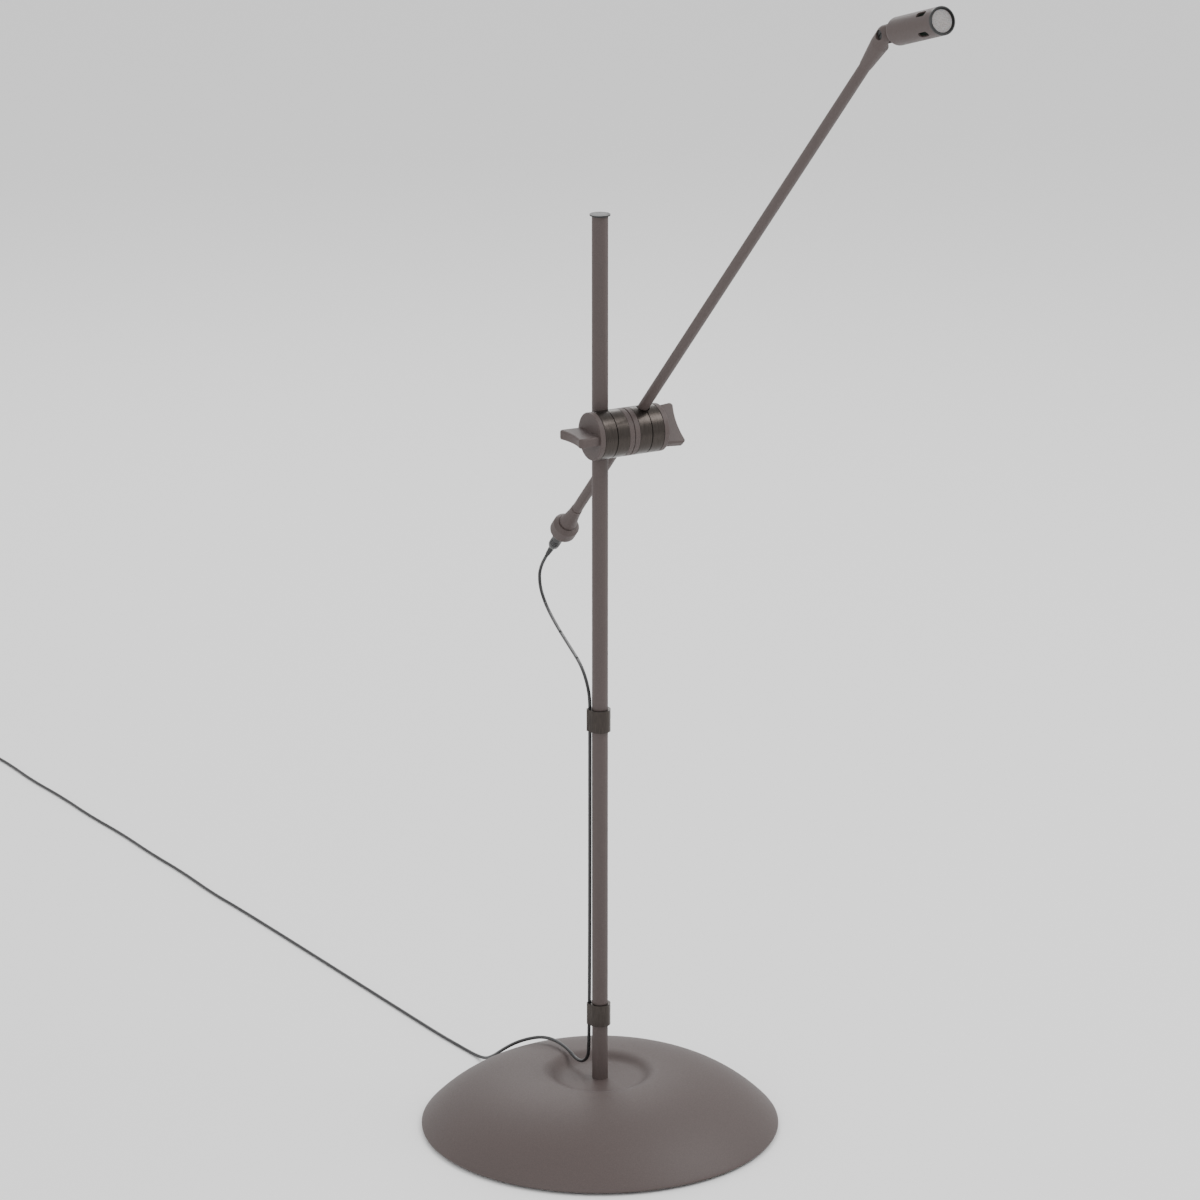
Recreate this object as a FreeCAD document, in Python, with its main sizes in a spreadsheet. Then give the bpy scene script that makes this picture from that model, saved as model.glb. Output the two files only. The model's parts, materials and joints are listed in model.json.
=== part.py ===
"""Swing arm desk lamp: weighted dome base, round stem, split-barrel clamp, sliding arm and LED spot.

Millimetres, +Z up. The origin is on the table, on the stem's axis. The clamp barrel lies along X
and the arm leans towards -Y. Each sub-part is one named solid (or one group of like fasteners).
"""
import FreeCAD, Part
import math
import os
import re

import Sketcher
from FreeCAD import Placement, Rotation, Vector

doc = FreeCAD.newDocument("swing_arm_desk_lamp")
sheet = doc.addObject("Spreadsheet::Sheet", "sizes")

SIZES = {
    # base
    "base_radius": 136.0,
    "rim_height": 2.2,
    "rim_lip": 1.6,
    "crest_radius": 45.0,
    "crest_height": 44.0,
    "crater_radius": 27.0,
    "crater_height": 38.1,
    "shell_wall": 3.0,
    "pad_inset": 9.0,
    "pad_thickness": 1.2,
    "plate_thickness": 2.0,
    "ballast_wide_gap": 14.4,
    "ballast_wide_height": 12.0,
    "ballast_mid_gap": 22.8,
    "ballast_mid_height": 11.0,
    "ballast_boss": 22.0,
    "plate_screw_inset": 15.0,
    "plate_screw_radius": 2.0,
    "plate_screw_length": 10.0,
    # stem
    "stem_radius": 6.0,
    "stem_wall": 1.0,
    "stem_length": 670.0,
    "foot_length": 30.0,
    "foot_bolt_radius": 3.0,
    "foot_bolt_length": 34.0,
    "cap_radius": 7.6,
    "cap_height": 2.4,
    "cap_dome": 0.8,
    "cap_spigot_length": 12.0,
    # cord clips on the stem
    "clip_wall": 2.0,
    "clip_height": 17.0,
    "clip_low": 82.0,
    "clip_high": 316.5,
    "clip_angle": 150.0,
    "clip_lobe_wall": 1.2,
    "cord_radius": 1.3,
    "cord_gap": 0.3,
    "cord_hole_clearance": 0.15,
    "clip_screw_radius": 1.5,
    # clamp barrel
    "barrel_height": 547.5,
    "barrel_radius": 17.75,
    "stud_gap": 0.35,
    "arm_to_stud": 10.0,
    "jaw_length": 10.0,
    "jaw_gap": 0.6,
    "disc_length": 4.2,
    "friction_radius": 14.0,
    "friction_thickness": 0.8,
    "friction_recess": 0.2,
    "liner_wall": 0.6,
    "liner_length": 12.0,
    "liner_clearance": 0.05,
    "stud_radius": 3.0,
    "stud_overhang": 12.0,
    "jaw_pin_radius": 1.5,
    "jaw_pin_offset": 11.0,
    "jaw_pin_length": 12.0,
    "running_clearance": 0.05,
    "seat_clearance": 0.1,
    # wing knobs
    "knob_flange": 4.2,
    "knob_gap": 0.3,
    "wing_root": 30.4,
    "wing_outer": 33.0,
    "wing_height": 16.5,
    "wing_thickness": 7.2,
    "wing_corner": 2.6,
    "wing_valley": 1.8,
    "wing_edge": 1.6,
    # arm
    "arm_radius": 4.0,
    "arm_wall": 1.0,
    "arm_upper": 452.0,
    "arm_lower": 150.0,
    "arm_lean": 44.5,
    "arm_pivot": 476.5,
    "knuckle_radius": 6.4,
    "knuckle_thickness": 4.5,
    "knuckle_gap": 0.25,
    "knuckle_cone_length": 24.0,
    "knuckle_screw_radius": 1.5,
    "knuckle_screw_head": 3.4,
    "knuckle_nut_radius": 3.0,
    "knuckle_nut_thickness": 1.6,
    "cone_length": 20.0,
    "cone_radius": 6.6,
    "spigot_radius": 6.0,
    "spigot_length": 15.0,
    "collar_radius": 10.2,
    "collar_length": 13.5,
    "collar_gap": 0.3,
    "ring_radius": 7.6,
    "ring_thickness": 1.2,
    "socket_radius": 5.0,
    "socket_length": 11.0,
    "plug_barrel_radius": 2.75,
    "plug_barrel_length": 9.0,
    "plug_radius": 4.2,
    "plug_length": 18.0,
    "relief_radius": 2.3,
    "relief_length": 13.0,
    "wire_radius": 1.2,
    # spot head
    "head_tilt": 16.5,
    "head_radius": 9.6,
    "head_back_start": 12.5,
    "head_back_length": 8.0,
    "head_spigot_length": 5.0,
    "head_wall": 1.2,
    "head_length": 71.3,
    "bezel_length": 1.8,
    "bezel_lip": 1.2,
    "bezel_ledge": 0.8,
    "lens_recess": 1.2,
    "lens_thickness": 2.0,
    "vent_length": 11.0,
    "vent_width": 4.2,
    "vent_start": 51.0,
    "sink_start": 30.0,
    "sink_length": 18.0,
    "fin_depth": 2.5,
    "fin_thickness": 1.4,
    "board_thickness": 1.2,
    "chip_side": 5.0,
    "chip_thickness": 0.8,
    # wall adapter and coil at the far end of the cord
    "adapter_length": 58.0,
    "adapter_width": 34.0,
    "adapter_height": 28.0,
    "adapter_gland_radius": 2.6,
    "adapter_gland_length": 12.0,
    "pin_radius": 2.0,
    "pin_length": 19.0,
    "pin_spacing": 18.6,
    "coil_radius": 14.5,
    "coil_half_width": 3.9,
    "coil_height": 5.2,
    "tie_width": 5.0,
    "tie_thickness": 1.0,
    "tie_clearance": 0.4,
}

for row, (alias, value) in enumerate(SIZES.items(), 1):
    sheet.set(f"A{row}", alias)
    sheet.set(f"B{row}", str(value))
    sheet.setAlias(f"B{row}", alias)
doc.recompute()

VENT_COUNT = 4
PLATE_SCREW_COUNT = 3
FIN_COUNT = 5
STEM_KNOB_TURN = 0.0
ARM_KNOB_TURN = 50.0


def size(alias):
    """Return a driving size as a plain number."""
    return float(sheet.get(alias))


def bind(thing, prop, rule):
    """Tie one property to the sheet; a plain number is set as it is."""
    if isinstance(rule, str):
        thing.setExpression(prop, tied(rule))
    else:
        setattr(thing, prop, rule)


def tied(rule):
    """Write a rule such as 'stem_radius - stem_wall' with the sheet's name before each alias."""
    return re.sub("[a-z_]+", lambda word: ("sizes." if word[0] in SIZES else "") + word[0], rule)


def number(thing, rule):
    """Work out a rule as a number."""
    found = thing.evalExpression(tied(rule))
    return float(getattr(found, "Value", found))


def put(thing, at, turn=None):
    """Place a primitive in its group's frame, with each coordinate tied to the sheet."""
    if turn is not None:
        thing.Placement = Placement(Vector(), turn)
    for axis, rule in zip("xyz", at):
        if isinstance(rule, str):
            thing.setExpression(".Placement.Base." + axis, tied(rule))
        elif rule:
            setattr(thing.Placement.Base, axis, rule)
    return thing


def size_of(rule):
    return number(sheet, rule)


TO_X = Rotation(Vector(0, 1, 0), 90)


def cylinder(name, radius, height, at=(0, 0, 0), turn=None):
    solid = doc.addObject("Part::Cylinder", name)
    bind(solid, "Radius", radius)
    bind(solid, "Height", height)
    return put(solid, at, turn)


def cone(name, low, high, height, at=(0, 0, 0)):
    solid = doc.addObject("Part::Cone", name)
    bind(solid, "Radius1", low)
    bind(solid, "Radius2", high)
    bind(solid, "Height", height)
    return put(solid, at)


def block(name, length, width, height, at=(0, 0, 0), turn=None):
    solid = doc.addObject("Part::Box", name)
    bind(solid, "Length", length)
    bind(solid, "Width", width)
    bind(solid, "Height", height)
    return put(solid, at, turn)


def fused(name, *solids):
    whole = doc.addObject("Part::MultiFuse", name)
    whole.Shapes = list(solids)
    return whole


def cut(name, base, *tools):
    """Cut the tools from the base, one Part::Cut when there is one tool, else after fusing them."""
    whole = doc.addObject("Part::Cut", name)
    whole.Base = base
    whole.Tool = tools[0] if len(tools) == 1 else fused(name + "_tools", *tools)
    return whole


def softened(name, base, radius, wanted):
    """Fillet the base's edges that the rule picks."""
    doc.recompute()
    edges = [n for n, edge in enumerate(base.Shape.Edges, 1) if wanted(edge)]
    fillet = doc.addObject("Part::Fillet", name)
    fillet.Base = base
    fillet.Edges = [(n, radius, radius) for n in edges]
    return fillet


def bevelled(name, base, width, wanted):
    """Chamfer the base's edges that the rule picks."""
    doc.recompute()
    edges = [n for n, edge in enumerate(base.Shape.Edges, 1) if wanted(edge)]
    chamfer = doc.addObject("Part::Chamfer", name)
    chamfer.Base = base
    chamfer.Edges = [(n, width, width) for n in edges]
    return chamfer


def circle_at(radius, height):
    """A rule for edges: a full circle of this radius at this height on the group's own axis."""
    def wanted(edge):
        return (
            isinstance(edge.Curve, Part.Circle)
            and abs(edge.Curve.Radius - radius) < 0.01
            and abs(edge.Curve.Center.z - height) < 0.01
            and abs(edge.Curve.Center.x) < 0.01
            and edge.isClosed()
        )
    return wanted


def turned(name, outline):
    """Turn a half outline about the body's Z axis. A point is (radius, height) or, for an arc that
    ends there, (radius, height, arc radius, side), where side 1 keeps the arc's centre on the left."""
    body = doc.addObject("PartDesign::Body", name)
    sketch = drawn(body, name + "_outline", "XZ_Plane", outline)
    turn = body.newObject("PartDesign::Revolution", name + "_turn")
    turn.Profile = sketch
    turn.ReferenceAxis = (sketch, ["V_Axis"])
    turn.Angle = 360
    return body


def padded(name, outline, thickness, plane="XZ_Plane"):
    """Pad a closed outline by equal amounts to both sides of its plane."""
    body = doc.addObject("PartDesign::Body", name)
    sketch = drawn(body, name + "_outline", plane, outline)
    pad = body.newObject("PartDesign::Pad", name + "_pad")
    pad.Profile = sketch
    pad.Midplane = True
    bind(pad, "Length", thickness)
    return body


def drawn(body, name, plane, outline):
    """Draw a closed outline whose every corner and arc is tied to the sheet."""
    sketch = body.newObject("Sketcher::SketchObject", name)
    origin_plane = [o for o in body.Origin.OriginFeatures if o.Role == plane][0]
    sketch.AttachmentSupport = [(origin_plane, "")]
    sketch.MapMode = "FlatFace"
    rules = [[str(part) for part in point[:2]] for point in outline]
    corners = [Vector(number(sketch, x), number(sketch, y), 0) for x, y in rules]
    starts = []
    for n, point in enumerate(outline):
        start, end = corners[n - 1], corners[n]
        if len(point) == 2:
            sketch.addGeometry(Part.LineSegment(start, end), False)
            starts.append(1)
        else:
            arc, first = arc_between(start, end, number(sketch, point[2]), point[3])
            sketch.addGeometry(arc, False)
            starts.append(first)
    for n in range(len(outline)):
        after = (n + 1) % len(outline)
        ends = 3 - starts[n]
        sketch.addConstraint(Sketcher.Constraint("Coincident", n, ends, after, starts[after]))
        for kind, rule, value in zip(("DistanceX", "DistanceY"), rules[n], corners[n]):
            held = sketch.addConstraint(Sketcher.Constraint(kind, -1, 1, n, ends, value))
            sketch.setExpression(f"Constraints[{held}]", tied(rule))
        if len(outline[n]) > 2:
            radius = number(sketch, outline[n][2])
            held = sketch.addConstraint(Sketcher.Constraint("Radius", n, radius))
            sketch.setExpression(f"Constraints[{held}]", tied(outline[n][2]))
    return sketch


def arc_between(start, end, radius, side):
    """Return the short arc from start to end and which of its two points (1 or 2) is the start."""
    chord = end - start
    middle = (start + end) * 0.5
    rise = math.sqrt(radius**2 - (chord.Length / 2) ** 2)
    left = Vector(-chord.y, chord.x, 0).normalize()
    centre = middle + left * rise * side
    angles = [math.atan2(p.y - centre.y, p.x - centre.x) for p in (start, end)]
    if side < 0:
        angles.reverse()
    while angles[1] < angles[0]:
        angles[1] += 2 * math.pi
    circle = Part.Circle(centre, Vector(0, 0, 1), radius)
    return Part.ArcOfCircle(circle, *angles), 1 if side > 0 else 2


NODES = []


def node(label, thing, frame=None):
    """Name a finished sub-part and set it in its place. A bare primitive keeps its own bound place
    inside its group's frame, so it is wrapped before the frame is set."""
    if frame is not None and thing.TypeId in ("Part::Cylinder", "Part::Box", "Part::Cone"):
        wrapped = doc.addObject("Part::Compound", label + "_placed")
        wrapped.Links = [thing]
        thing = wrapped
    thing.Label = label
    if frame is not None:
        thing.Placement = frame
    NODES.append(thing)


# ---- frames of the moving groups ------------------------------------------------------------

STEM_TO_STUD = "(stem_radius + liner_clearance + liner_wall + stud_radius + stud_gap)"
CORD_OFFSET = "(stem_radius + cord_radius + cord_gap)"

# The barrel's frame stands level on the stud's axis, at the stem clamp's seam. The arm's frame has
# Z along the arm and Y away from the stud; the head's has Z along the beam.
BARREL = Placement(Vector(0, -size_of(STEM_TO_STUD), size("barrel_height")), Rotation())
ARM_TURN = Rotation(Vector(1, 0, 0), size("arm_lean"))
ARM_PITCH = (2 * size("jaw_length") + 2 * size("disc_length")
             + size("friction_thickness") - 2 * size("friction_recess"))
ARM = Placement(
    BARREL.Base + Vector(ARM_PITCH, 0, 0) + ARM_TURN.multVec(Vector(0, size("arm_to_stud"), 0)),
    ARM_TURN)
HEAD = Placement(ARM.multVec(Vector(0, 0, size("arm_pivot"))),
                 Rotation(Vector(1, 0, 0), 90 - size("head_tilt")))
CLIP_TURN = Rotation(Vector(0, 0, 1), size("clip_angle"))


# ---- base -----------------------------------------------------------------------------------

CROWN_RISE = "(crest_height - rim_height - rim_lip)"
CROWN = f"((base_radius - crest_radius) ^ 2 + {CROWN_RISE} ^ 2) / (2 * {CROWN_RISE})"
DIP = (
    "(((crest_radius - crater_radius) / 2) ^ 2 + ((crest_height - crater_height) / 2) ^ 2)"
    " / (crest_height - crater_height)"
)


def inner_radius(height):
    """The rule for the shell's inner radius at a height near the rim."""
    return (
        f"(crest_radius + sqrt(({CROWN} - shell_wall) ^ 2"
        f" - ({CROWN} - crest_height + {height}) ^ 2))"
    )


BALLAST_FLOOR = "(pad_thickness + plate_thickness)"
BALLAST_STEP = f"({BALLAST_FLOOR} + ballast_wide_height)"
BALLAST_WIDE = f"({inner_radius(BALLAST_STEP)} - ballast_wide_gap)"
SCREW_CIRCLE = f"({BALLAST_WIDE} - plate_screw_inset)"


def base_shell():
    """The pressed dome: a crown that falls to the rim, and a shallow dish round the stem."""
    middle = "(crest_radius + crater_radius) / 2"
    outside = turned("base_form", [
        ("0", "rim_height"),
        ("base_radius", "rim_height"),
        ("base_radius", "rim_height + rim_lip"),
        ("crest_radius", "crest_height", CROWN, 1),
        (middle, "(crest_height + crater_height) / 2", DIP, 1),
        ("crater_radius", "crater_height", DIP, -1),
        ("0", "crater_height"),
    ])
    cavity = turned("base_cavity", [
        ("0", "rim_height"),
        (inner_radius("rim_height"), "rim_height"),
        ("crest_radius", "crest_height - shell_wall", f"{CROWN} - shell_wall", 1),
        ("crater_radius", "crater_height - shell_wall"),
        ("0", "crater_height - shell_wall"),
    ])
    hole = cylinder("base_hole", "stem_radius - stem_wall + seat_clearance", "crest_height")
    shell = cut("base_pressing", outside, cavity, hole)
    under = softened("base_rim", shell, size("rim_lip") * 0.3,
                     circle_at(size("base_radius"), size("rim_height")))
    over = softened("base_shell_form", under, size("rim_lip") * 0.4,
                    circle_at(size("base_radius"), size("rim_height") + size("rim_lip")))
    node("base_shell", over)


def ballast_disc():
    """The stepped iron weight; its boss carries the stem's foot."""
    top = "crater_height - shell_wall"
    bottom = BALLAST_FLOOR
    upper_step = f"({BALLAST_STEP} + ballast_mid_height)"
    middle = f"({inner_radius(upper_step)} - ballast_mid_gap)"
    form = turned("ballast_form", [
        ("foot_bolt_radius + seat_clearance", bottom),
        (BALLAST_WIDE, bottom),
        (BALLAST_WIDE, BALLAST_STEP),
        (middle, BALLAST_STEP),
        (middle, upper_step),
        ("ballast_boss", upper_step),
        ("ballast_boss", top),
        ("foot_bolt_radius + seat_clearance", top),
    ])
    bolt_room = cylinder("bolt_room", "foot_bolt_radius * 3.2", 7.0, (0, 0, bottom))
    foot_room = cylinder("foot_room", "stem_radius - stem_wall + seat_clearance", "foot_length / 2",
                         (0, 0, f"{top} - foot_length / 2"))
    holes = screw_places("ballast_holes", "plate_screw_radius", "plate_screw_length", bottom)
    node("ballast_disc", cut("ballast_cast", form, bolt_room, foot_room, *holes))


def screw_places(name, radius, length, height):
    """Cylinders on the base plate's screw circle."""
    places = []
    for n in range(PLATE_SCREW_COUNT):
        angle = 360 * n / PLATE_SCREW_COUNT + 90
        places.append(cylinder(f"{name}_{n}", radius, length, (
            f"{SCREW_CIRCLE} * cos({angle})", f"{SCREW_CIRCLE} * sin({angle})", height)))
    return places


def base_plate():
    """The sheet that closes the base from below, with countersunk holes."""
    inside = inner_radius(BALLAST_FLOOR)
    form = cylinder("plate_form", f"{inside} - seat_clearance * 4", "plate_thickness",
                    (0, 0, "pad_thickness"))
    bolt_hole = cylinder("plate_bolt_hole", "foot_bolt_radius * 3.2", "plate_thickness",
                         (0, 0, "pad_thickness"))
    holes = screw_places("plate_holes", "plate_screw_radius", "plate_thickness", "pad_thickness")
    sinks = []
    for n, hole in enumerate(screw_places("plate_sinks", 1.0, 1.0, "pad_thickness")):
        sink = cone(f"plate_sink_{n}", "plate_screw_radius * 2", "plate_screw_radius",
                    "plate_thickness")
        for axis in "xy":
            sink.setExpression(f".Placement.Base.{axis}", f"{hole.Name}.Placement.Base.{axis}")
        sink.setExpression(".Placement.Base.z", "sizes.pad_thickness")
        sinks.append(sink)
    node("base_plate", cut("plate_sheet", form, bolt_hole, *holes, *sinks))


def plate_screws():
    """Three countersunk screws from the plate into the weight."""
    screws = []
    shanks = screw_places("screw_shanks", "plate_screw_radius",
                          "plate_thickness + plate_screw_length", "pad_thickness")
    for n, shank in enumerate(shanks):
        head = cone(f"screw_head_{n}", "plate_screw_radius * 2", "plate_screw_radius",
                    "plate_thickness")
        for axis in "xyz":
            head.setExpression(f".Placement.Base.{axis}", f"{shank.Name}.Placement.Base.{axis}")
        screws += [shank, head]
    node("base_plate_screws", fused("plate_screw_set", *screws))


def foot_pad():
    """The full felt disc that the lamp stands on."""
    node("foot_pad", cylinder("pad_form", "base_radius - pad_inset", "pad_thickness"))


# ---- stem -----------------------------------------------------------------------------------

def stem_parts():
    bore = "stem_radius - stem_wall"
    outer = cylinder("stem_outer", "stem_radius", "stem_length", (0, 0, "crater_height"))
    inner = cylinder("stem_inner", bore, "stem_length", (0, 0, "crater_height"))
    node("stem_tube", cut("stem_bored", outer, inner))

    foot = cylinder("foot_form", bore, "foot_length",
                    (0, 0, "crater_height - shell_wall - foot_length / 2"))
    thread = cylinder("foot_thread", "foot_bolt_radius", "foot_length",
                      (0, 0, "crater_height - shell_wall - foot_length / 2 - 2"))
    node("stem_foot", cut("foot_tapped", foot, thread))

    head_height = 4.0
    bolt_bottom = "pad_thickness + plate_thickness + 1.5"
    shank = cylinder("bolt_shank", "foot_bolt_radius", "foot_bolt_length", (0, 0, bolt_bottom))
    head = cylinder("bolt_head", "foot_bolt_radius * 1.7", head_height, (0, 0, bolt_bottom))
    node("stem_bolt", fused("bolt_form", shank, head))
    under_head = (0, 0, f"{bolt_bottom} + {head_height}")
    washer = cylinder("washer_form", "foot_bolt_radius * 2.4", 1.5, under_head)
    washer_hole = cylinder("washer_hole", "foot_bolt_radius", 1.5, under_head)
    node("stem_bolt_washer", cut("washer_bored", washer, washer_hole))

    top = "crater_height + stem_length"
    cap = turned("stem_cap_form", [
        ("0", f"{top} - cap_spigot_length"),
        (bore, f"{top} - cap_spigot_length"),
        (bore, top),
        ("stem_radius", top),
        ("cap_radius", f"{top} + 0.6"),
        ("cap_radius", f"{top} + cap_height - cap_dome"),
        ("0", f"{top} + cap_height", "(cap_radius ^ 2 + cap_dome ^ 2) / (2 * cap_dome)", 1),
    ])
    node("stem_cap", cap)


def clip(label, screw_label, height):
    """A teardrop band round the stem with a round lobe that holds the cord, and its grub screw."""
    band_radius = size("stem_radius") + size("clip_wall")
    lobe_radius = size("cord_radius") + size("clip_lobe_wall")
    reach, tall = size_of(CORD_OFFSET), size("clip_height")
    lean = math.acos((band_radius - lobe_radius) / reach)
    toward = Vector(math.cos(lean), math.sin(lean), 0)
    mirrored = Vector(toward.x, -toward.y, 0)
    lobe_centre = Vector(reach, 0, 0)
    outline = Part.Wire([
        Part.Arc(toward * band_radius, Vector(-band_radius, 0, 0), mirrored * band_radius).toShape(),
        Part.LineSegment(mirrored * band_radius, lobe_centre + mirrored * lobe_radius).toShape(),
        Part.Arc(lobe_centre + mirrored * lobe_radius, lobe_centre + Vector(lobe_radius, 0, 0),
                 lobe_centre + toward * lobe_radius).toShape(),
        Part.LineSegment(lobe_centre + toward * lobe_radius, toward * band_radius).toShape(),
    ])
    band = Part.Face(outline).extrude(Vector(0, 0, tall))
    stem_hole = Part.makeCylinder(size("stem_radius"), tall)
    cord_hole = Part.makeCylinder(
        size("cord_radius") + size("cord_hole_clearance"), tall, lobe_centre)
    screw_at = Vector(-size("stem_radius"), 0, tall / 2)
    screw = Part.makeCylinder(
        size("clip_screw_radius"), size("clip_wall"), screw_at, Vector(-1, 0, 0))
    place = Placement(Vector(0, 0, height), CLIP_TURN)
    pressed = doc.addObject("Part::Feature", label + "_form")
    pressed.Shape = band.cut(stem_hole).cut(cord_hole).cut(screw)
    node(label, pressed, place)
    slotted = doc.addObject("Part::Feature", screw_label + "_form")
    slot = Part.makeBox(0.6, 2.2, 0.5, Vector(-band_radius, -1.1, tall / 2 - 0.25))
    slotted.Shape = screw.common(Part.makeCylinder(band_radius - 0.2, tall)).cut(slot)
    node(screw_label, slotted, place)


# ---- clamp ----------------------------------------------------------------------------------

STEM_SEAM = "0"
ARM_SEAM = "2 * jaw_length + 2 * disc_length + friction_thickness - 2 * friction_recess"


def along_x(name, radius, length, start, across=("0", "0")):
    """A cylinder along the barrel that starts at X = start."""
    return cylinder(name, radius, length, (start, *across), TO_X)


def tube_room(name, radius, seam, leaning, half_length="barrel_radius * 2"):
    """A cylinder where the clamp's tube passes: upright for the stem, leaning for the arm."""
    if not leaning:
        return cylinder(name, radius, f"2 * {half_length}",
                        (seam, STEM_TO_STUD, f"0 - {half_length}"))
    return cylinder(name, radius, f"2 * {half_length}", (
        seam,
        f"arm_to_stud * cos(arm_lean) + {half_length} * sin(arm_lean)",
        f"arm_to_stud * sin(arm_lean) - {half_length} * cos(arm_lean)",
    ), ARM_TURN)


def pin_place(name, seam, leaning, length, start):
    """A cylinder along X for the dowel that keeps two jaws in line, opposite their tube."""
    across = ("0 - jaw_pin_offset", "0")
    if leaning:
        across = ("0 - jaw_pin_offset * cos(arm_lean)", "0 - jaw_pin_offset * sin(arm_lean)")
    return along_x(name, "jaw_pin_radius", length, f"{seam} + {start}", across)


def jaw(label, seam, side, leaning, stud_room):
    """One half of a split clamp: a disc with half a groove for its tube, bored for the stud.
    It lies to the left (side -1) or right (side +1) of its seam."""
    length = "(jaw_length - jaw_gap / 2)"
    start = f"{seam} - jaw_length" if side < 0 else f"{seam} + jaw_gap / 2"
    disc = along_x(label + "_disc", "barrel_radius", length, start)
    bore = along_x(label + "_bore", stud_room, length, start)
    tube = "arm_radius" if leaning else "stem_radius"
    groove = tube_room(label + "_groove", f"{tube} + 2 * liner_clearance + liner_wall", seam, leaning)
    pin = pin_place(label + "_pin_hole", seam, leaning, "jaw_pin_length", "0 - jaw_pin_length / 2")
    turned_disc = cut(label + "_cut", disc, bore, groove, pin)
    far_rim = size_of(f"{seam} + {side} * jaw_length")
    node(label, softened(label + "_form", turned_disc, 0.35, barrel_rim([far_rim])), BARREL)


def barrel_rim(places):
    """A rule for edges: arcs of the barrel's own radius at these distances along it."""
    def wanted(edge):
        curve = edge.Curve
        return (
            curve.TypeId == "Part::GeomCircle"
            and abs(curve.Radius - size("barrel_radius")) < 0.01
            and any(abs(curve.Center.x - place) < 0.01 for place in places)
        )
    return wanted


def liner(label, leaning):
    """The split nylon sleeve between the jaws and their tube."""
    tube = "arm_radius" if leaning else "stem_radius"
    seam = ARM_SEAM if leaning else STEM_SEAM
    half = "(liner_length / 2)"
    outside = tube_room(label + "_outside", f"{tube} + liner_clearance + liner_wall",
                        seam, leaning, half)
    inside = tube_room(label + "_inside", f"{tube} + liner_clearance", seam, leaning, half)
    node(label, cut(label + "_form", outside, inside), BARREL)


def friction_disc(label, start, recess_start):
    """A plain disc next to the middle washer, with a shallow seat for it."""
    disc = along_x(label + "_disc", "barrel_radius", "disc_length", start)
    bore = along_x(label + "_bore", "stud_radius + running_clearance", "disc_length", start)
    seat = along_x(label + "_seat", "friction_radius + seat_clearance", "friction_recess", recess_start)
    rims = [size_of(f"{start} + disc_length * {end}") for end in (0, 1)]
    form = softened(label + "_form", cut(label + "_cut", disc, bore, seat), 0.45, barrel_rim(rims))
    node(label, form, BARREL)


def clamp_parts():
    fast = "stud_radius"
    loose = "stud_radius + running_clearance"
    jaw("stem_jaw_outer", STEM_SEAM, -1, False, fast)
    jaw("stem_jaw_inner", STEM_SEAM, 1, False, fast)
    liner("stem_liner", False)
    node("stem_jaw_pin", pin_place("stem_pin_form", STEM_SEAM, False, "jaw_pin_length - 1",
                                   "0 - jaw_pin_length / 2"), BARREL)
    friction_disc("stem_friction_disc", "jaw_length", "jaw_length + disc_length - friction_recess")

    washer_start = "jaw_length + disc_length - friction_recess"
    washer = along_x("friction_washer_disc", "friction_radius", "friction_thickness", washer_start)
    washer_bore = along_x("friction_washer_bore", loose, "friction_thickness", washer_start)
    node("friction_washer", cut("friction_washer_form", washer, washer_bore), BARREL)

    arm_disc_start = f"{ARM_SEAM} - jaw_length - disc_length"
    friction_disc("arm_friction_disc", arm_disc_start, arm_disc_start)
    jaw("arm_jaw_inner", ARM_SEAM, -1, True, loose)
    jaw("arm_jaw_outer", ARM_SEAM, 1, True, loose)
    liner("arm_liner", True)
    node("arm_jaw_pin", pin_place("arm_pin_form", ARM_SEAM, True, "jaw_pin_length - 1",
                                  "0 - jaw_pin_length / 2"), BARREL)

    stud_start = "0 - jaw_length - knob_flange - stud_overhang"
    stud = along_x("stud_form", "stud_radius",
                   f"{ARM_SEAM} + 2 * jaw_length + 2 * knob_flange + 2 * stud_overhang", stud_start)
    ends = [size_of(stud_start), size_of(f"{ARM_SEAM} + jaw_length + knob_flange + stud_overhang")]
    node("clamp_stud", bevelled("stud_pointed", stud, 0.6, lambda edge: (
        edge.Curve.TypeId == "Part::GeomCircle"
        and any(abs(edge.Curve.Center.x - end) < 0.01 for end in ends))), BARREL)


def outer_rim_of_wing(edge):
    """A rule for edges: the two long rims of a wing, above its foot."""
    half = size("wing_thickness") / 2
    ends = [vertex.Point for vertex in edge.Vertexes]
    flat = all(abs(abs(end.y) - half) < 0.01 for end in ends)
    return flat and abs(ends[0].y - ends[-1].y) < 0.01 and max(end.z for end in ends) > 1.0


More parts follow.
